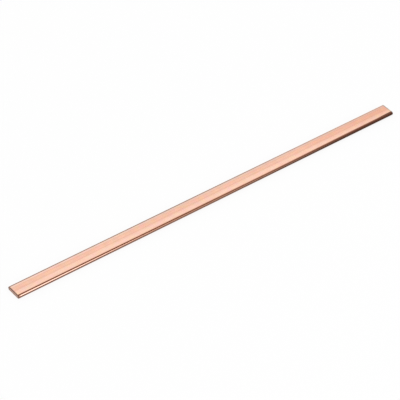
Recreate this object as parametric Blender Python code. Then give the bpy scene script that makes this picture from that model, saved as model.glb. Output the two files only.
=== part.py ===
"""Copper flat bar: one drawn bar with full round long edges, cut square to length.

Units are metres, +Z is up. The bar lies flat on the plane z = 0 with its length
along X and its width along Y. The origin is under the middle of the bar.
"""

import math

import bmesh
import bpy

# Driving dimensions
BAR_LENGTH = 0.500
BAR_WIDTH = 0.016
BAR_THICKNESS = 0.004
EDGE_RADIUS = 0.002
SAWN_END_BREAK = 0.00035

# Facets
ARC_SEGMENTS = 10
END_BREAK_SEGMENTS = 3
SAME_POINT = 0.00001
SHARP_EDGE_ANGLE = math.radians(30)

# Bright drawn copper
COPPER = {
    "Base Color": (0.90, 0.53, 0.40, 1.0),
    "Roughness": 0.32,
    "Metallic": 1.0,
}


def clear_scene():
    for obj in list(bpy.data.objects):
        bpy.data.objects.remove(obj, do_unlink=True)


def copper_material():
    material = bpy.data.materials.new("copper")
    material.use_nodes = True
    shader = material.node_tree.nodes["Principled BSDF"]
    for name, value in COPPER.items():
        shader.inputs[name].default_value = value
    material.diffuse_color = COPPER["Base Color"]
    return material


def section_outline():
    """The drawn section as (y, z) points, counter-clockwise seen from +X.

    A full round edge is two quarter arcs that meet half way up, and the point
    that they share is kept once.
    """
    radius = min(EDGE_RADIUS, BAR_THICKNESS / 2)
    side = BAR_WIDTH / 2 - radius
    low = radius
    high = BAR_THICKNESS - radius
    corners = (
        (side, low, -math.pi / 2),
        (side, high, 0.0),
        (-side, high, math.pi / 2),
        (-side, low, math.pi),
    )
    outline = []
    for centre_y, centre_z, start in corners:
        for step in range(ARC_SEGMENTS + 1):
            angle = start + math.pi / 2 * step / ARC_SEGMENTS
            point = (centre_y + radius * math.cos(angle), centre_z + radius * math.sin(angle))
            if not outline or math.dist(point, outline[-1]) > SAME_POINT:
                outline.append(point)
    return outline


def extrude_section(bm):
    """Extrude the section along the bar and return the two sawn end faces."""
    near_x = -BAR_LENGTH / 2
    ring = [bm.verts.new((near_x, y, z)) for y, z in section_outline()]
    near_end = bm.faces.new(ring)
    extruded = bmesh.ops.extrude_face_region(bm, geom=[near_end], use_keep_orig=True)
    moved = [item for item in extruded["geom"] if isinstance(item, bmesh.types.BMVert)]
    bmesh.ops.translate(bm, vec=(BAR_LENGTH, 0.0, 0.0), verts=moved)
    far_end = next(item for item in extruded["geom"] if isinstance(item, bmesh.types.BMFace))
    return near_end, far_end


def break_sawn_ends(bm, ends):
    """Round off the burr that the saw leaves, all the way around each end."""
    rims = [edge for face in ends for edge in face.edges]
    bmesh.ops.bevel(
        bm,
        geom=rims,
        offset=SAWN_END_BREAK,
        offset_type="OFFSET",
        segments=END_BREAK_SEGMENTS,
        profile=0.5,
        affect="EDGES",
    )


def flat_bar():
    bm = bmesh.new()
    ends = extrude_section(bm)
    break_sawn_ends(bm, ends)
    bmesh.ops.recalc_face_normals(bm, faces=bm.faces)

    mesh = bpy.data.meshes.new("flat_bar")
    bm.to_mesh(mesh)
    bm.free()
    mesh.materials.append(copper_material())
    mesh.shade_smooth()
    mesh.set_sharp_from_angle(angle=SHARP_EDGE_ANGLE)

    bar = bpy.data.objects.new("flat_bar", mesh)
    bpy.context.scene.collection.objects.link(bar)
    return bar


clear_scene()
flat_bar()
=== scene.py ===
"""Looks of a drawn copper flat bar, lying on a pale studio floor.

Units are metres. The bar lies along X on z = 0. Its near long edge, the one that
the camera sees, faces -Y, and its near end faces -X.
"""

import math
import random
from collections import namedtuple

import bmesh
import bpy
from mathutils import Matrix, Quaternion, Vector, noise


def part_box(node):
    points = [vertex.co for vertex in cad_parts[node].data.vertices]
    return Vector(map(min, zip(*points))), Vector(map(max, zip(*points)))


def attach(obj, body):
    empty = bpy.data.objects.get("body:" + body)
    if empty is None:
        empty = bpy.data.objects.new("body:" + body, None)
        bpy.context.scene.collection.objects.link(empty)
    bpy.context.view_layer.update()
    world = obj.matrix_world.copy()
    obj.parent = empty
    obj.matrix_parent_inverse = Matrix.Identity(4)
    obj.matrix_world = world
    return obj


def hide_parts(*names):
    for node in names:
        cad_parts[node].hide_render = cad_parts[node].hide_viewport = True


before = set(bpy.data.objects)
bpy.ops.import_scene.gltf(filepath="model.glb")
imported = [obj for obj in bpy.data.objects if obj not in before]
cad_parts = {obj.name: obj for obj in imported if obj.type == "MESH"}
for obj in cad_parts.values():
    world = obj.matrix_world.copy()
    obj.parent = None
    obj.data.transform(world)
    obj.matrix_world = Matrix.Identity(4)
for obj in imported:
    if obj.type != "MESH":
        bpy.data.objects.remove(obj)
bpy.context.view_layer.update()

# The bar's sizes, from the frame
BAR_LOW, BAR_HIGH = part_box("flat_bar")
BAR_LENGTH = BAR_HIGH.x - BAR_LOW.x
BAR_WIDTH = BAR_HIGH.y - BAR_LOW.y
BAR_THICKNESS = BAR_HIGH.z - BAR_LOW.z
HALF_LENGTH = BAR_LENGTH / 2
EDGE_RADIUS = BAR_THICKNESS / 2
FLAT_HALF_WIDTH = BAR_WIDTH / 2 - EDGE_RADIUS

# How finely the bar's skin is divided
FLAT_STEPS = 60
EDGE_STEPS = 40
LENGTH_STEPS = 150
END_BREAK_STEPS = 4
END_FACE_ROWS = 20
END_FACE_FADE_ROWS = 3

# Die lines of the drawn skin, below the true outline. A line reaches a few of its
# widths to either side. Along the bar it keeps one share of its depth, and another
# share of it wanders.
DIE_LINES = 46
DIE_LINE_SEED = 11
DIE_LINE_DEPTH = (0.000002, 0.000010)
DIE_LINE_WIDTH = (0.00015, 0.00050)
DIE_LINE_REACH = 2.5
DIE_LINE_WAVELENGTH = 0.09
DIE_LINE_EVEN = 0.6
DIE_LINE_WANDER = 0.4
DIE_LINE_NOISE_SPAN = 100.0

# Broken rims of the sawn ends
END_BREAK = 0.00035
END_BREAK_UNEVENNESS = 0.35
END_BREAK_WAVELENGTH = 0.004
END_BREAK_NOISE_APART = 7.0
END_BREAK_NOISE_PLACE = 3.0

# Arcs that the saw leaves on the end faces, below the true outline. Their depth is
# an even share, a share that the arcs swing by and a share that wanders.
SAW_BLADE_RADIUS = 0.150
SAW_BLADE_ASIDE = 0.06
SAW_MARK_DEPTH = 0.000030
SAW_MARK_PITCH = 0.00055
SAW_MARK_EVEN = 0.5
SAW_MARK_SWING = 0.35
SAW_MARK_WANDER = 0.15
SAW_PHASE_WANDER = 2.0
SAW_WANDER_WIDTH = 0.003
SAW_WANDER_HEIGHT = 0.0012
SAW_NOISE_APART = 5.0

# Camera, at the photograph's viewing angle
IMAGE_SIDE_PX = 400
FOCAL_PX = 1762.9
SENSOR_WIDTH_MM = 36.0
CAMERA_REACH = 100.0
CAMERA_DISTANCE = 1.7197
CAMERA_YAW = math.radians(50.215)
CAMERA_PITCH = math.radians(41.206)
CAMERA_ROLL = math.radians(12.320)
CAMERA_TARGET = Vector((-0.01839, 0.00317, 0.0))

# In the copper below, two places are where a change starts and ends, and four are
# where a band starts, is full, fades and ends. Places along the bar are shares of its
# half length, from -1 at the near end to 1 at the far end. The others are metres:
# across the bar from its middle line, lifts from half its height, and the rim's rise
# from the floor. The middle step tells one side of the bar, or one end, from the other.
WHITE = (1.0, 1.0, 1.0, 1.0)
MIDDLE_STEP = (-0.001, 0.001)

# Noise, as waves a metre along, across and up
NOISE_DETAIL = 2.0
NOISE_MIDDLE = 0.5
MOTTLE_WAVES = (150.0, 210.0, 210.0)
CLOUD_WAVES = (18.0, 160.0, 160.0)
STREAK_WAVES = (9.0, 2600.0, 2600.0)
SAW_MARK_WAVES = (200.0, 300.0, 6000.0)

# How much the drawn skin varies
MOTTLE_AMOUNT = (0.21, 0.24, 0.40)
CLOUD_AMOUNT = 0.10
STREAK_AMOUNT = 0.16

# Drawn flats. A draw line has its place across, its half width and how dark it is.
PLAIN = (0.93, 0.55, 0.41, 1.0)
PALE = (0.98, 0.64, 0.50, 1.0)
PALE_BAND = (-0.0058, -0.0048, -0.0018, -0.0002)
FRINGE_NEAR_END = (0.91, 0.63, 0.52, 1.0)
FRINGE_FAR_END = (0.82, 0.58, 0.49, 1.0)
FRINGE_ALONG = (-0.64, -0.16)
FRINGE_ACROSS = (0.0038, 0.0052)
DRAW_LINES = ((0.0036, 0.0009, 0.07), (0.0002, 0.0009, 0.07), (-0.0049, 0.0007, 0.02))
WARMER = (0.94, 0.87, 0.83, 1.0)
WARM_ALONG = (0.24, 0.96)
WARM_ACROSS = (-0.010, 0.002)

# Round long edges. The near edge's copper carries painted reflection: a little darker right at
# the saw, paler at the near end under the front lamp's highlight, and darkening towards the far
# end as painted dark reflection
EDGE_START = (0.0059, 0.0063)
EDGE_REFLECTION_AT_SAW = (0.52, 0.30, 0.225, 1.0)
EDGE_HIGHLIGHT_NEAR_END = (0.87, 0.58, 0.47, 1.0)
EDGE_REFLECTION_MIDDLE = (0.80, 0.42, 0.29, 1.0)
EDGE_DARK_REFLECTION_FAR_END = (0.31, 0.12, 0.075, 1.0)
EDGE_PAST_SAW = (-0.996, -0.988)
EDGE_TO_MIDDLE = (-0.88, -0.16)
EDGE_TO_FAR_END = (0.12, 0.84)
# Painted dark reflection along the far edge, paler towards the far end
FAR_EDGE_DARK_REFLECTION = (0.25, 0.135, 0.09, 1.0)
FAR_EDGE_PALER_REFLECTION = (0.53, 0.31, 0.225, 1.0)
FAR_EDGE_ALONG = (-0.20, 0.88)

# Painted dark reflection: a dark line along the start of the near edge
TANGENT_BAND = (0.0053, 0.0059, 0.0067, 0.0071)
TANGENT_LIFT = (0.0014, 0.0017)
TANGENT_NARROWING = 0.0004
TANGENT_NARROW_PART = (-0.96, -0.28, 0.28, 0.80)
TANGENT_WIDENING = 0.0002
TANGENT_WIDE_PART = (0.24, 0.88)
TANGENT_TIP_WIDENING = 0.0004
TANGENT_REFLECTION_NEAR_END = (0.22, 0.07, 0.03, 1.0)
TANGENT_REFLECTION_MIDDLE = (0.33, 0.14, 0.083, 1.0)
TANGENT_REFLECTION_FAR_END = (0.23, 0.088, 0.054, 1.0)
TANGENT_REFLECTION_TIP = (0.12, 0.06, 0.038, 1.0)
TANGENT_TO_MIDDLE = (-0.40, 0.24)
TANGENT_TO_FAR_END = (0.32, 0.88)
TANGENT_TO_TIP = (0.896, 0.976)

# Painted dark reflection: a dark belt around the middle of both edges
BELT_LIFT = (0.0014, 0.0010)
BELT_START = (0.0064, 0.0068)
BELT_REFLECTION_NEAR_END = (0.23, 0.11, 0.075, 1.0)
BELT_REFLECTION_FAR_END = (0.047, 0.018, 0.012, 1.0)
BELT_ALONG = (-0.24, 0.72)

# Sawn ends, with depths from the end face
SAWN = (0.48, 0.33, 0.275, 1.0)
# Painted shade towards the corners of the end faces
SAWN_CORNER_SHADE = (0.30, 0.20, 0.165, 1.0)
# Painted dark reflection on the upper rim of both ends, and on the upper inner edge of their
# faces
SAWN_RIM_REFLECTION = (0.115, 0.05, 0.034, 1.0)
# Painted grey reflection on the rim of the far end
FAR_RIM_REFLECTION = (0.36, 0.35, 0.30, 1.0)
FAR_RIM_DEPTH = (0.0016, 0.0009)
FAR_RIM_ACROSS = (-0.010, 0.004)
SAWN_DEPTH = (0.00012, 0.00003)
RIM_DEPTH = (0.00034, 0.00024)
RIM_RISE = (0.0016, 0.0026)
RIM_FADE = (0.0068, 0.0052)
# Inset from the outline of the painted dark reflection on the end faces
INNER_RIM_INSET = (0.0009, 0.0005)
CORNER_START = (0.0052, 0.0074)

# Gloss and fine relief of the copper
GRAZING_TINT = (1.0, 0.80, 0.70, 1.0)
DRAWN_ROUGHNESS = 0.20
STREAK_ROUGHNESS = 0.14
EDGE_POLISH = 0.12
EDGE_POLISH_START = (0.0060, 0.0066)
SAWN_ROUGHNESS = 0.35
DRAWN_RELIEF = 0.000004
SAWN_RELIEF = 0.000020

# Studio
FLOOR_SIDE = 60.0
FLOOR_COLOUR = (0.97, 0.97, 0.97, 1.0)
FLOOR_ROUGHNESS = 0.9
FLOOR_GLOW = 0.87
WORLD_STRENGTH = 1.0
DARK_SIDE_STRENGTH = 0.12
DARK_SIDE_DIRECTION = Vector((0.80, -0.35, 0.49)).normalized()
DARK_SIDE_CORE = math.radians(10)
DARK_SIDE_EDGE = math.radians(27)
FRONT_PANEL_PLACE = Vector((0.463, -1.171, 0.803))
FRONT_PANEL_SIZE = (0.46, 0.95)
FRONT_PANEL_TURN = math.radians(-37.1)
FRONT_PANEL_RADIANCE = 1.2

# What the shader knows of a point of the bar: its place, its share along the bar, its y
# and z, how far it is from the middle line, from half the height and from the nearer
# end, whether it is on a sawn face, and the noise of the fine streaks
Spot = namedtuple("Spot", "place along y z across lift from_end sawn streaks")


def link(obj):
    bpy.context.scene.collection.objects.link(obj)
    return obj


# Mesh of the bar

def edge_arc(side):
    """Angles around the bar's section for one round long edge, side +1 or -1."""
    start = -math.pi / 2 if side > 0 else math.pi / 2
    return [start + math.pi * step / EDGE_STEPS for step in range(EDGE_STEPS)]


def section():
    """The section as (y, z, normal y, normal z), counter-clockwise seen from +X."""
    middle_z = BAR_THICKNESS / 2
    points = []
    for side in (1, -1):
        for angle in edge_arc(side):
            normal_y, normal_z = math.cos(angle), math.sin(angle)
            points.append((
                side * FLAT_HALF_WIDTH + EDGE_RADIUS * normal_y,
                middle_z + EDGE_RADIUS * normal_z,
                normal_y,
                normal_z,
            ))
        for step in range(FLAT_STEPS):
            across = side * FLAT_HALF_WIDTH * (1 - 2 * step / FLAT_STEPS)
            points.append((across, middle_z + side * EDGE_RADIUS, 0.0, float(side)))
    return points


def perimeter_places(points):
    """How far along the section each of its points is."""
    places = [0.0]
    for before, after in zip(points, points[1:]):
        places.append(places[-1] + math.dist(before[:2], after[:2]))
    return places


def die_lines(perimeter):
    """Shallow lengthwise lines, as (place on the section, depth, width, seed)."""
    draw = random.Random(DIE_LINE_SEED)
    return [
        (
            draw.uniform(0.0, perimeter),
            draw.uniform(*DIE_LINE_DEPTH),
            draw.uniform(*DIE_LINE_WIDTH),
            draw.uniform(0.0, DIE_LINE_NOISE_SPAN),
        )
        for _ in range(DIE_LINES)
    ]


def relief_depth(place, along, lines, perimeter):
    """How deep the skin lies under the true outline at a point of the bar."""
    depth = 0.0
    for centre, line_depth, width, seed in lines:
        apart = abs(place - centre)
        apart = min(apart, perimeter - apart) / width
        if apart < DIE_LINE_REACH:
            wander = noise.noise((along / DIE_LINE_WAVELENGTH, seed, 0.0))
            share = DIE_LINE_EVEN + DIE_LINE_WANDER * wander
            depth += line_depth * share * math.exp(-apart * apart)
    return depth


def break_width(place, end):
    """Width of the broken rim of a sawn end, a little uneven around the section."""
    wander = noise.noise((
        place / END_BREAK_WAVELENGTH,
        end * END_BREAK_NOISE_APART,
        END_BREAK_NOISE_PLACE,
    ))
    return END_BREAK * (1.0 + END_BREAK_UNEVENNESS * wander)


def saw_mark_depth(y, z, end):
    """Depth of the arcs that the saw leaves on an end face."""
    from_axis = math.hypot(y - end * SAW_BLADE_ASIDE, z + SAW_BLADE_RADIUS)
    phase = 2 * math.pi * (from_axis - SAW_BLADE_RADIUS) / SAW_MARK_PITCH
    wander = noise.noise((y / SAW_WANDER_WIDTH, z / SAW_WANDER_HEIGHT, end * SAW_NOISE_APART))
    arc = math.sin(phase + SAW_PHASE_WANDER * wander)
    return SAW_MARK_DEPTH * (SAW_MARK_EVEN + SAW_MARK_SWING * arc + SAW_MARK_WANDER * wander)


def skin_rings(points, places, lines, perimeter):
    """Rings of corners along the drawn skin, from the near end to the far end."""
    spans = [
        (-HALF_LENGTH + break_width(place, -1), HALF_LENGTH - break_width(place, 1))
        for place in places
    ]
    rings = []
    for step in range(LENGTH_STEPS + 1):
        ring = []
        for (y, z, normal_y, normal_z), place, (near, far) in zip(points, places, spans):
            x = near + (far - near) * step / LENGTH_STEPS
            depth = relief_depth(place, x, lines, perimeter)
            ring.append((x, y - normal_y * depth, z - normal_z * depth))
        rings.append(ring)
    return rings


def break_rings(points, places, skin_ring, end):
    """Rings that round the rim of one end, from the skin to the sawn face."""
    rings = []
    for step in range(1, END_BREAK_STEPS + 1):
        turn = math.pi / 2 * step / END_BREAK_STEPS
        ring = []
        for (_, _, normal_y, normal_z), place, (_, y, z) in zip(points, places, skin_ring):
            width = break_width(place, end)
            inset = width * (1 - math.cos(turn))
            x = end * (HALF_LENGTH - width * (1 - math.sin(turn)))
            ring.append((x, y - normal_y * inset, z - normal_z * inset))
        rings.append(ring)
    return rings


def add_end_face(bm, rim, end):
    """Fill a sawn end with columns between the upper and the lower half of its rim."""
    count = len(rim)
    start = EDGE_STEPS // 2
    columns = []
    for step in range(count // 2 + 1):
        upper, lower = rim[(start + step) % count], rim[(start - step) % count]
        if upper is lower:
            columns.append([upper])
            continue
        column = [lower]
        for row in range(1, END_FACE_ROWS):
            point = lower.co.lerp(upper.co, row / END_FACE_ROWS)
            fade_in = min(row, END_FACE_ROWS - row, END_FACE_FADE_ROWS) / END_FACE_FADE_ROWS
            point.x -= end * fade_in * saw_mark_depth(point.y, point.z, end)
            column.append(bm.verts.new(point))
        column.append(upper)
        columns.append(column)
    for before, after in zip(columns, columns[1:]):
        for row in range(END_FACE_ROWS):
            corners = [
                before[min(row, len(before) - 1)],
                after[min(row, len(after) - 1)],
                after[min(row + 1, len(after) - 1)],
                before[min(row + 1, len(before) - 1)],
            ]
            bm.faces.new(list(dict.fromkeys(corners)))


def make_bar():
    """The dressed bar, which stands for the plain one of the frame."""
    points = section()
    places = perimeter_places(points)
    perimeter = places[-1] + math.dist(points[-1][:2], points[0][:2])
    lines = die_lines(perimeter)
    skin = skin_rings(points, places, lines, perimeter)
    near = break_rings(points, places, skin[0], -1)
    far = break_rings(points, places, skin[-1], 1)

    bm = bmesh.new()
    rings = [[bm.verts.new(co) for co in ring] for ring in near[::-1] + skin + far]
    for before, after in zip(rings, rings[1:]):
        for index in range(len(points)):
            following = (index + 1) % len(points)
            bm.faces.new((before[index], before[following], after[following], after[index]))
    add_end_face(bm, rings[0], -1)
    add_end_face(bm, rings[-1], 1)
    bmesh.ops.recalc_face_normals(bm, faces=bm.faces)

    mesh = bpy.data.meshes.new("drawn_bar")
    bm.to_mesh(mesh)
    bm.free()
    mesh.shade_smooth()
    mesh.materials.append(copper_material())
    bar = link(bpy.data.objects.new("drawn_bar", mesh))
    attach(bar, "root")
    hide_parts("flat_bar")


# Copper

def set_socket(tree, socket, value):
    """Link a socket to a node's output, or give it a plain value."""
    if isinstance(value, bpy.types.NodeSocket):
        tree.links.new(value, socket)
    else:
        socket.default_value = value


def add_node(tree, kind, inputs=None, **settings):
    """A shader node with its settings, and with its inputs by name or by number."""
    made = tree.nodes.new(kind)
    for name, value in settings.items():
        setattr(made, name, value)
    for name, value in (inputs or {}).items():
        set_socket(tree, made.inputs[name], value)
    return made


def math_node(tree, operation, first, second=0.0):
    return add_node(tree, "ShaderNodeMath", {0: first, 1: second}, operation=operation).outputs[0]


def times(tree, first, *others):
    for other in others:
        first = math_node(tree, "MULTIPLY", first, other)
    return first


def total(tree, first, *others):
    for other in others:
        first = math_node(tree, "ADD", first, other)
    return first


def less(tree, first, second):
    return math_node(tree, "SUBTRACT", first, second)


def ramp(tree, value, start, end):
    """0 before start, 1 past end, and smooth between. End may be the lower one."""
    return add_node(
        tree, "ShaderNodeMapRange",
        {"Value": value, "From Min": start, "From Max": end},
        interpolation_type="SMOOTHSTEP",
    ).outputs["Result"]


def band(tree, value, stops):
    """0 outside the outer stops, 1 between the inner ones, and smooth between."""
    rise = ramp(tree, value, stops[0], stops[1])
    return times(tree, rise, ramp(tree, value, stops[3], stops[2]))


def stretched_noise(tree, place, waves, output="Fac"):
    """Noise with its own number of waves a metre along, across and up."""
    scaled = add_node(tree, "ShaderNodeMapping", {"Vector": place, "Scale": waves})
    return add_node(
        tree, "ShaderNodeTexNoise",
        {"Vector": scaled.outputs["Vector"], "Scale": 1.0, "Detail": NOISE_DETAIL},
    ).outputs[output]


def swing(tree, value, amount):
    """A noise moved to vary around zero, by this much between 0 and 1."""
    return times(tree, less(tree, value, NOISE_MIDDLE), amount)


def mix_colour(tree, amount, first, second):
    made = add_node(tree, "ShaderNodeMix", data_type="RGBA")
    sockets = {socket.name: socket for socket in made.inputs if socket.enabled}
    for name, value in (("Factor", amount), ("A", first), ("B", second)):
        set_socket(tree, sockets[name], value)
    return next(socket for socket in made.outputs if socket.enabled)


def tinted(tree, colour, tint):
    return add_node(
        tree, "ShaderNodeVectorMath", {0: colour, 1: tint}, operation="MULTIPLY"
    ).outputs["Vector"]


def along_bar(tree, along, first, *later):
    """A colour that changes along the bar, each later one as (start, end, colour)."""
    colour = first
    for start, end, following in later:
        colour = mix_colour(tree, ramp(tree, along, start, end), colour, following)
    return colour


def flat_colour(tree, spot):
    """The drawn flats: a pale band, a far fringe, mottling, streaks, darker draw
    lines and a warmer far end."""
    colour = mix_colour(tree, band(tree, spot.y, PALE_BAND), PLAIN, PALE)
    fringe = along_bar(tree, spot.along, FRINGE_NEAR_END, (*FRINGE_ALONG, FRINGE_FAR_END))
    colour = mix_colour(tree, ramp(tree, spot.y, *FRINGE_ACROSS), colour, fringe)

    mottle = stretched_noise(tree, spot.place, MOTTLE_WAVES, output="Color")
    tint = add_node(
        tree, "ShaderNodeVectorMath",
        {0: mottle, 1: MOTTLE_AMOUNT, 2: [1.0 - amount / 2 for amount in MOTTLE_AMOUNT]},
        operation="MULTIPLY_ADD",
    ).outputs["Vector"]
    colour = tinted(tree, colour, tint)

    clouds = stretched_noise(tree, spot.place, CLOUD_WAVES)
    shade = total(
        tree, 1.0,
        swing(tree, spot.streaks, STREAK_AMOUNT),
        swing(tree, clouds, CLOUD_AMOUNT),
    )
    for centre, half_width, darkness in DRAW_LINES:
        apart = math_node(tree, "ABSOLUTE", less(tree, spot.y, centre))
        shade = less(tree, shade, times(tree, ramp(tree, apart, half_width, 0.0), darkness))
    colour = add_node(
        tree, "ShaderNodeVectorMath", {0: colour, "Scale": shade}, operation="SCALE"
    ).outputs["Vector"]

    warmth = times(tree, ramp(tree, spot.along, *WARM_ALONG), ramp(tree, spot.y, *WARM_ACROSS))
    return tinted(tree, colour, mix_colour(tree, warmth, WHITE, WARMER))


def edge_colour_and_reflections(tree, spot, colour):
    """The round long edges: painted reflections in their tones, a painted dark reflection as a
    line where the near one starts, and a painted dark reflection as a belt around the middle of
    both."""
    # painted highlight and reflection: the near edge is paler at the near end and darker towards
    # the far end
    near_edge_reflection = along_bar(
        tree, spot.along, EDGE_REFLECTION_AT_SAW,
        (*EDGE_PAST_SAW, EDGE_HIGHLIGHT_NEAR_END),
        (*EDGE_TO_MIDDLE, EDGE_REFLECTION_MIDDLE),
        (*EDGE_TO_FAR_END, EDGE_DARK_REFLECTION_FAR_END),
    )
    # painted dark reflection along the far edge, paler towards the far end
    far_edge_reflection = along_bar(tree, spot.along, FAR_EDGE_DARK_REFLECTION, (*FAR_EDGE_ALONG, FAR_EDGE_PALER_REFLECTION))
    # the painted reflections of the near and the far edge
    edge = mix_colour(tree, ramp(tree, spot.y, *MIDDLE_STEP), near_edge_reflection, far_edge_reflection)
    colour = mix_colour(tree, ramp(tree, spot.across, *EDGE_START), colour, edge)

    narrowing = times(tree, band(tree, spot.along, TANGENT_NARROW_PART), TANGENT_NARROWING)
    widening = times(tree, ramp(tree, spot.along, *TANGENT_WIDE_PART), TANGENT_WIDENING)
    tip_widening = times(tree, ramp(tree, spot.along, *TANGENT_TO_TIP), TANGENT_TIP_WIDENING)
    place = total(tree, less(tree, spot.across, narrowing), widening, tip_widening)
    # painted dark reflection, a dark line where the near edge starts
    tangent_reflection = times(
        tree,
        band(tree, place, TANGENT_BAND),
        ramp(tree, spot.lift, *TANGENT_LIFT),
        ramp(tree, spot.y, *reversed(MIDDLE_STEP)),
    )
    tangent_reflection_colour = along_bar(
        tree, spot.along, TANGENT_REFLECTION_NEAR_END,
        (*TANGENT_TO_MIDDLE, TANGENT_REFLECTION_MIDDLE),
        (*TANGENT_TO_FAR_END, TANGENT_REFLECTION_FAR_END),
        (*TANGENT_TO_TIP, TANGENT_REFLECTION_TIP),
    )
    colour = mix_colour(tree, tangent_reflection, colour, tangent_reflection_colour)

    # painted dark reflection, a dark belt around the middle of both edges
    belt_reflection = times(tree, ramp(tree, spot.lift, *BELT_LIFT), ramp(tree, spot.across, *BELT_START))
    belt_reflection_colour = along_bar(tree, spot.along, BELT_REFLECTION_NEAR_END, (*BELT_ALONG, BELT_REFLECTION_FAR_END))
    return mix_colour(tree, belt_reflection, colour, belt_reflection_colour)


def end_colour(tree, spot, colour):
    """The sawn ends: dull faces with painted shade at their corners, a painted dark reflection on
    the upper rim, and a painted grey reflection on the rim of the far end."""
    # painted grey reflection on the rim of the far end
    far_rim_reflection = times(
        tree,
        ramp(tree, spot.from_end, *FAR_RIM_DEPTH),
        ramp(tree, spot.along, *MIDDLE_STEP),
        ramp(tree, spot.y, *FAR_RIM_ACROSS),
    )
    colour = mix_colour(tree, far_rim_reflection, colour, FAR_RIM_REFLECTION)

    # painted dark reflection on the upper rim and on the upper inner edge of the end faces
    upper = times(tree, ramp(tree, spot.z, *RIM_RISE), ramp(tree, spot.y, *RIM_FADE))
    rim = times(tree, ramp(tree, spot.from_end, *RIM_DEPTH), upper)
    colour = mix_colour(tree, rim, colour, SAWN_RIM_REFLECTION)

    # painted shade towards the corners of the end faces
    face = mix_colour(tree, ramp(tree, spot.across, *CORNER_START), SAWN, SAWN_CORNER_SHADE)
    past_flat = math_node(tree, "MAXIMUM", less(tree, spot.across, FLAT_HALF_WIDTH), 0.0)
    squares = total(tree, times(tree, past_flat, past_flat), times(tree, spot.lift, spot.lift))
    inset = less(tree, EDGE_RADIUS, math_node(tree, "SQRT", squares))
    inner_rim_reflection = times(tree, ramp(tree, inset, *INNER_RIM_INSET), upper)
    face = mix_colour(tree, inner_rim_reflection, face, SAWN_RIM_REFLECTION)
    return mix_colour(tree, spot.sawn, colour, face)


def copper_material():
    """Drawn copper, with its colour, the painted reflections and shade of its edges and ends, its
    gloss and its finest relief worked out for each place.
    """
    material = bpy.data.materials.new("drawn_copper")
    material.use_nodes = True
    tree = material.node_tree
    shader = tree.nodes["Principled BSDF"]
    shader.inputs["Metallic"].default_value = 1.0
    shader.inputs["Specular Tint"].default_value = GRAZING_TINT

    place = tree.nodes.new("ShaderNodeTexCoord").outputs["Object"]
    x, y, z = add_node(tree, "ShaderNodeSeparateXYZ", {"Vector": place}).outputs
    from_end = less(tree, HALF_LENGTH, math_node(tree, "ABSOLUTE", x))
    spot = Spot(
        place=place,
        along=math_node(tree, "DIVIDE", x, HALF_LENGTH),
        y=y,
        z=z,
        across=math_node(tree, "ABSOLUTE", y),
        lift=math_node(tree, "ABSOLUTE", less(tree, z, EDGE_RADIUS)),
        from_end=from_end,
        sawn=ramp(tree, from_end, *SAWN_DEPTH),
        streaks=stretched_noise(tree, place, STREAK_WAVES),
    )
    colour = flat_colour(tree, spot)
    colour = edge_colour_and_reflections(tree, spot, colour)
    colour = end_colour(tree, spot, colour)
    tree.links.new(colour, shader.inputs["Base Color"])

    roughness = total(
        tree, DRAWN_ROUGHNESS,
        times(tree, spot.streaks, STREAK_ROUGHNESS),
        times(tree, ramp(tree, spot.across, *EDGE_POLISH_START), -EDGE_POLISH),
        times(tree, spot.sawn, SAWN_ROUGHNESS),
    )
    tree.links.new(roughness, shader.inputs["Roughness"])

    saw_marks = stretched_noise(tree, place, SAW_MARK_WAVES)
    height = total(
        tree,
        times(tree, spot.streaks, DRAWN_RELIEF),
        times(tree, saw_marks, spot.sawn, SAWN_RELIEF),
    )
    bump = add_node(tree, "ShaderNodeBump", {"Strength": 1.0, "Distance": 1.0, "Height": height})
    tree.links.new(bump.outputs["Normal"], shader.inputs["Normal"])
    return material


# Studio

def make_camera():
    """The camera, aimed at its target and rolled about the line of sight."""
    forward = Vector((
        math.sin(CAMERA_YAW) * math.cos(CAMERA_PITCH),
        math.cos(CAMERA_YAW) * math.cos(CAMERA_PITCH),
        -math.sin(CAMERA_PITCH),
    ))
    level_right = Vector((math.cos(CAMERA_YAW), -math.sin(CAMERA_YAW), 0.0))
    level_up = level_right.cross(forward)
    right = level_right * math.cos(CAMERA_ROLL) + level_up * math.sin(CAMERA_ROLL)
    up = right.cross(forward)
    turn = Matrix((right, up, -forward)).transposed()

    data = bpy.data.cameras.new("camera")
    data.sensor_width = SENSOR_WIDTH_MM
    data.lens = FOCAL_PX * SENSOR_WIDTH_MM / IMAGE_SIDE_PX
    data.clip_end = CAMERA_REACH
    camera = link(bpy.data.objects.new("camera", data))
    place = CAMERA_TARGET - forward * CAMERA_DISTANCE
    camera.matrix_world = Matrix.Translation(place) @ turn.to_4x4()
    bpy.context.scene.camera = camera


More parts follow.
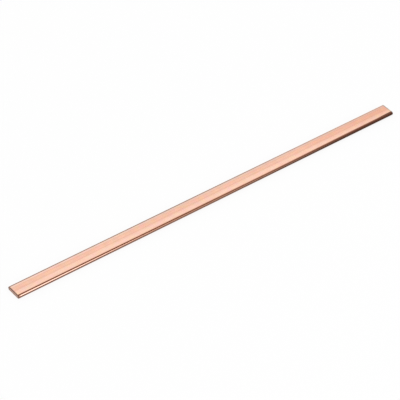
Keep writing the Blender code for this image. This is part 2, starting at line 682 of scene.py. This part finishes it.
def make_floor():
    """A white floor that keeps the bar's shadow."""
    bm = bmesh.new()
    bmesh.ops.create_grid(bm, x_segments=1, y_segments=1, size=FLOOR_SIDE / 2)
    mesh = bpy.data.meshes.new("floor")
    bm.to_mesh(mesh)
    bm.free()
    material = bpy.data.materials.new("floor")
    material.use_nodes = True
    shader = material.node_tree.nodes["Principled BSDF"]
    shader.inputs["Base Color"].default_value = FLOOR_COLOUR
    shader.inputs["Roughness"].default_value = FLOOR_ROUGHNESS
    shader.inputs["Specular IOR Level"].default_value = 0.0

    tree = material.node_tree
    ray = tree.nodes.new("ShaderNodeLightPath").outputs
    seen = math_node(tree, "MAXIMUM", ray["Is Camera Ray"], ray["Is Glossy Ray"])
    seen = math_node(tree, "MAXIMUM", seen, ray["Is Transmission Ray"])
    white = add_node(tree, "ShaderNodeEmission", {"Strength": 1.0})
    mixed = add_node(tree, "ShaderNodeMixShader", {
        0: times(tree, seen, FLOOR_GLOW),
        1: shader.outputs["BSDF"],
        2: white.outputs["Emission"],
    })
    tree.links.new(mixed.outputs["Shader"], tree.nodes["Material Output"].inputs["Surface"])
    mesh.materials.append(material)
    link(bpy.data.objects.new("floor", mesh))


def make_front_panel():
    """A soft lamp in front, whose reflection, together with the near edge's painted highlight, is
    the bright line of the near edge.
    """
    width, height = FRONT_PANEL_SIZE
    data = bpy.data.lights.new("front_panel", "AREA")
    data.shape = "RECTANGLE"
    data.size = width
    data.size_y = height
    data.energy = math.pi * width * height * FRONT_PANEL_RADIANCE
    panel = link(bpy.data.objects.new("front_panel", data))
    panel.location = FRONT_PANEL_PLACE
    facing = (-FRONT_PANEL_PLACE).to_track_quat("-Z", "Y")
    panel.rotation_euler = (facing @ Quaternion((0.0, 0.0, 1.0), FRONT_PANEL_TURN)).to_euler()


def make_world():
    """A pale studio whose front right side is open and dark."""
    world = bpy.data.worlds.new("studio")
    world.use_nodes = True
    tree = world.node_tree
    direction = tree.nodes.new("ShaderNodeTexCoord").outputs["Generated"]
    towards = add_node(
        tree, "ShaderNodeVectorMath", {0: direction, 1: DARK_SIDE_DIRECTION},
        operation="DOT_PRODUCT",
    ).outputs["Value"]
    darkness = ramp(tree, towards, math.cos(DARK_SIDE_EDGE), math.cos(DARK_SIDE_CORE))
    drop = times(tree, darkness, WORLD_STRENGTH - DARK_SIDE_STRENGTH)
    strength = less(tree, WORLD_STRENGTH, drop)
    background = tree.nodes["Background"]
    background.inputs["Color"].default_value = WHITE
    tree.links.new(strength, background.inputs["Strength"])
    bpy.context.scene.world = world


bpy.context.scene.view_settings.view_transform = "Standard"
make_camera()
make_world()
make_floor()
make_front_panel()
make_bar()
